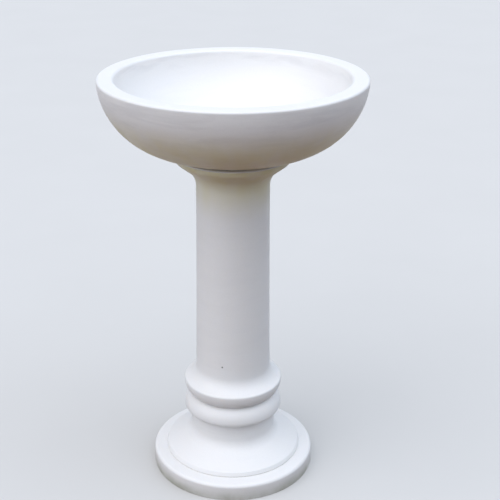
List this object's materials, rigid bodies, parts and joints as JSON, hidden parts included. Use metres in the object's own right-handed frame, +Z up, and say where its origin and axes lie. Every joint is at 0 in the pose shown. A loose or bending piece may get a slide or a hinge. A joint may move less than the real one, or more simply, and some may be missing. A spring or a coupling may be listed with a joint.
{
  "type": "bird bath",
  "caption": "Round pedestal bird bath in turned white stone: a loose wide basin on a flared column with a ringed, bell-shaped foot and a round plinth.",
  "frame": {"origin": "middle of the plinth's underside, on the turning axis, where the bird bath meets the ground", "axes": "+Z up the turning axis, from the plinth to the basin; X and Y are level and alike, because every stone is turned"},
  "size_m": [0.5006, 0.5006, 0.82],
  "materials": {
    "basin_stone": "honed white marble, satin",
    "column_stone": "honed white marble, satin",
    "ring_stone": "honed white marble, satin",
    "foot_stone": "honed white marble, satin",
    "plinth_stone": "honed white marble, satin",
    "mortar": "fine white adhesive mortar, matt",
    "resin": "cured fixing resin, dull",
    "seat_rubber": "black sheet rubber, dull",
    "stainless_steel": "stainless steel, as drawn"
  },
  "bodies": {
    "pedestal": {"plinth": "plinth_stone", "foot_bed": "mortar", "foot": "foot_stone", "torus_bed": "mortar", "torus_ring": "ring_stone", "collar_bed": "mortar", "column": "column_stone", "tie_rod": "stainless_steel", "tie_rod_resin": "resin", "spreader_washer": "stainless_steel", "spring_washer": "stainless_steel", "tie_rod_nut": "stainless_steel", "basin_dowel": "stainless_steel", "dowel_resin": "resin"},
    "seat": {"seating_ring": "seat_rubber"},
    "basin": {"basin": "basin_stone"}
  },
  "joints": [
    {"name": "basin_turn", "type": "hinge", "parent": "pedestal", "child": "seat", "pos_m": [0, 0, 0.671], "axis": [0, 0, 1], "continuous": true},
    {"name": "basin_lift", "type": "slide", "parent": "seat", "child": "basin", "axis": [0, 0, 1], "range_m": [0, 0.1]}
  ]
}
